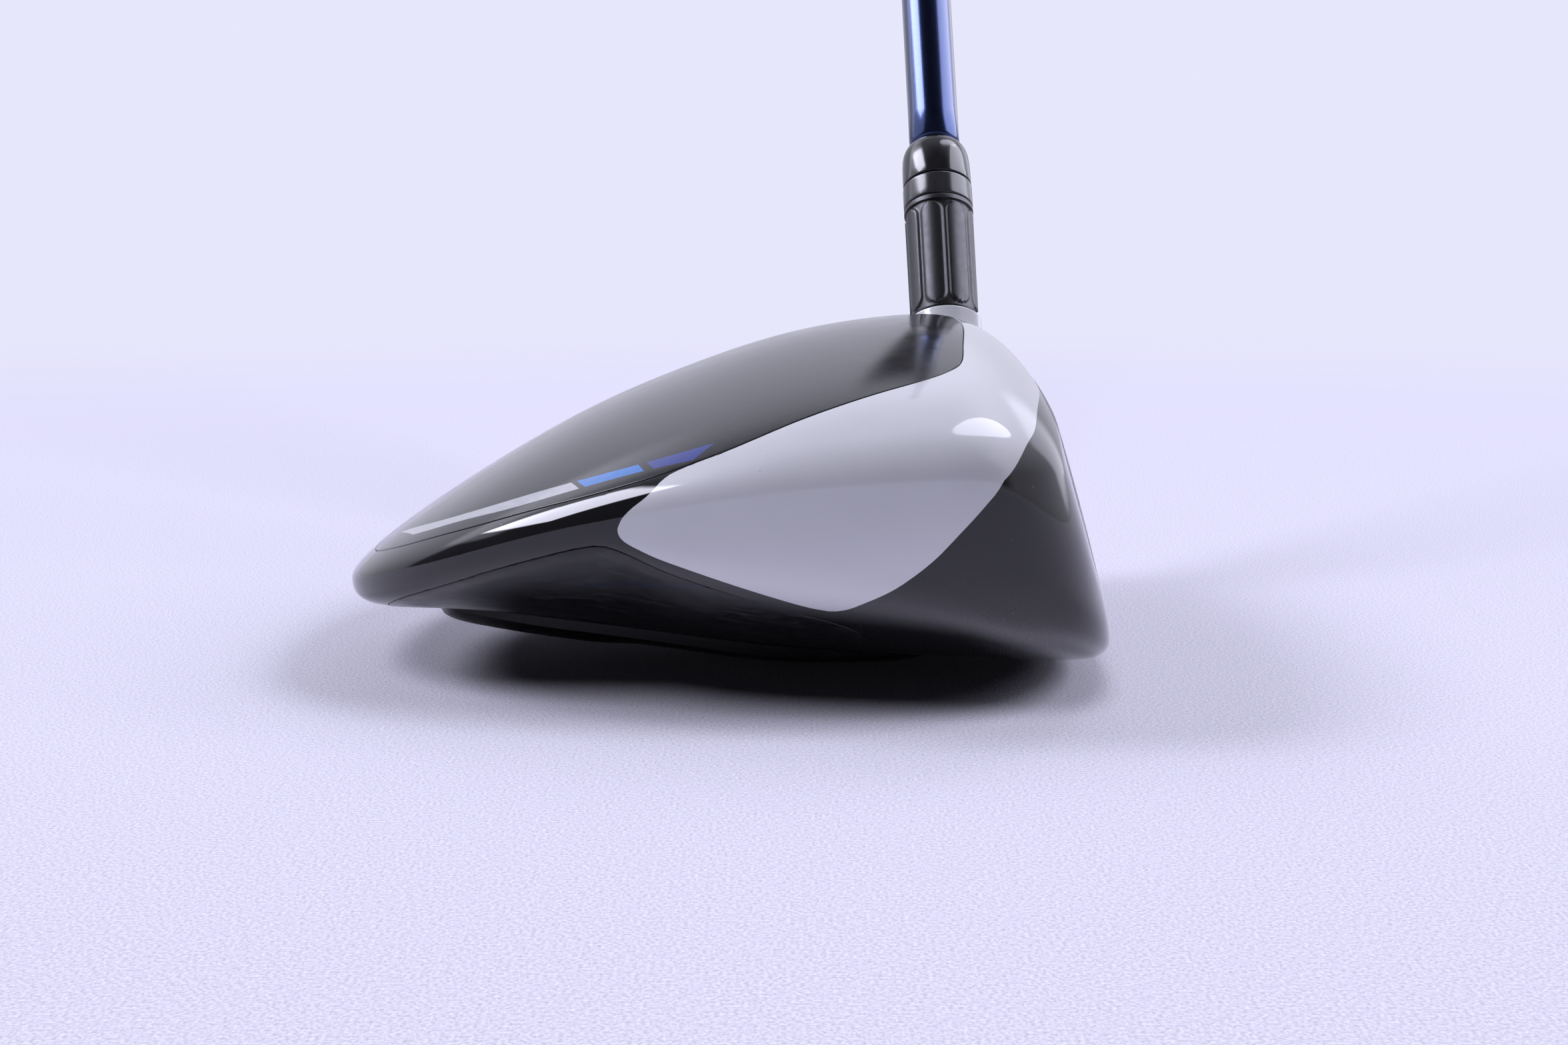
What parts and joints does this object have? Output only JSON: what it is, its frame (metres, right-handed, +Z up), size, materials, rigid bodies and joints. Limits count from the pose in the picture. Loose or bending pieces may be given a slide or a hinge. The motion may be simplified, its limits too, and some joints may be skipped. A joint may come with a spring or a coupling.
{
  "type": "golf driver",
  "caption": "Right-handed golf driver: hollow head with carbon crown and sole panels, screw-in loft sleeve, tapered shaft and rubber grip.",
  "frame": {"origin": "middle of the flat pad under the sole keel, on the ground the club rests on", "axes": "+X out of the face, +Y from the toe to the heel and up the shaft, +Z up from the ground, with the club at address"},
  "size_m": [0.1183, 0.7342, 0.9814],
  "materials": {
    "head_body": "gloss white and black paint on cast titanium",
    "face_plate": "satin dark grey titanium",
    "crown_panel": "gloss black carbon composite",
    "sole_panel_toe": "dark speckled carbon composite",
    "sole_panel_heel": "dark speckled carbon composite",
    "sole_keel": "gloss black composite fairing",
    "slot_insert": "black elastomer",
    "rear_weight": "satin steel",
    "weight_screw": "satin steel",
    "hosel_bolt": "satin steel",
    "bolt_washer": "satin steel",
    "bolt_keeper": "nylon",
    "loft_sleeve": "dark grey anodised",
    "ferrule_ring": "dark grey plastic",
    "ferrule": "black plastic",
    "shaft": "metallic dark blue paint on carbon tube",
    "tip_plug": "nylon",
    "grip_tape": "double-sided paper tape",
    "grip": "black moulded rubber",
    "grip_cap": "black moulded rubber"
  },
  "bodies": {
    "head": {"head_body": "head_body", "face_plate": "face_plate", "crown_panel": "crown_panel", "sole_panel_toe": "sole_panel_toe", "sole_panel_heel": "sole_panel_heel", "sole_keel": "sole_keel", "slot_insert": "slot_insert", "rear_weight": "rear_weight"},
    "bolt_washer": {"bolt_washer": "bolt_washer"},
    "shaft_assembly": {"loft_sleeve": "loft_sleeve", "ferrule_ring": "ferrule_ring", "ferrule": "ferrule", "shaft": "shaft", "tip_plug": "tip_plug", "grip_tape": "grip_tape", "grip": "grip", "grip_cap": "grip_cap"},
    "hosel_bolt": {"hosel_bolt": "hosel_bolt", "bolt_keeper": "bolt_keeper"},
    "weight_screw": {"weight_screw": "weight_screw"}
  },
  "joints": [
    {"name": "loft_turn", "type": "hinge", "parent": "head", "child": "bolt_washer", "pos_m": [0.02624, 0.04116, 0.02485], "axis": [-0.015, 0.5299, 0.848], "continuous": true},
    {"name": "shaft_lift", "type": "slide", "parent": "bolt_washer", "child": "shaft_assembly", "axis": [-0.015, 0.5299, 0.848], "range_m": [0, 0.04]},
    {"name": "hosel_bolt_turn", "type": "hinge", "parent": "head", "child": "hosel_bolt", "pos_m": [0.02628, 0.0395, 0.02218], "axis": [-0.015, 0.5299, 0.848], "continuous": true},
    {"name": "weight_screw_turn", "type": "hinge", "parent": "head", "child": "weight_screw", "pos_m": [-0.0455, 0.003, 0.0051], "axis": [-0.1332, 0, -0.9911], "continuous": true}
  ]
}
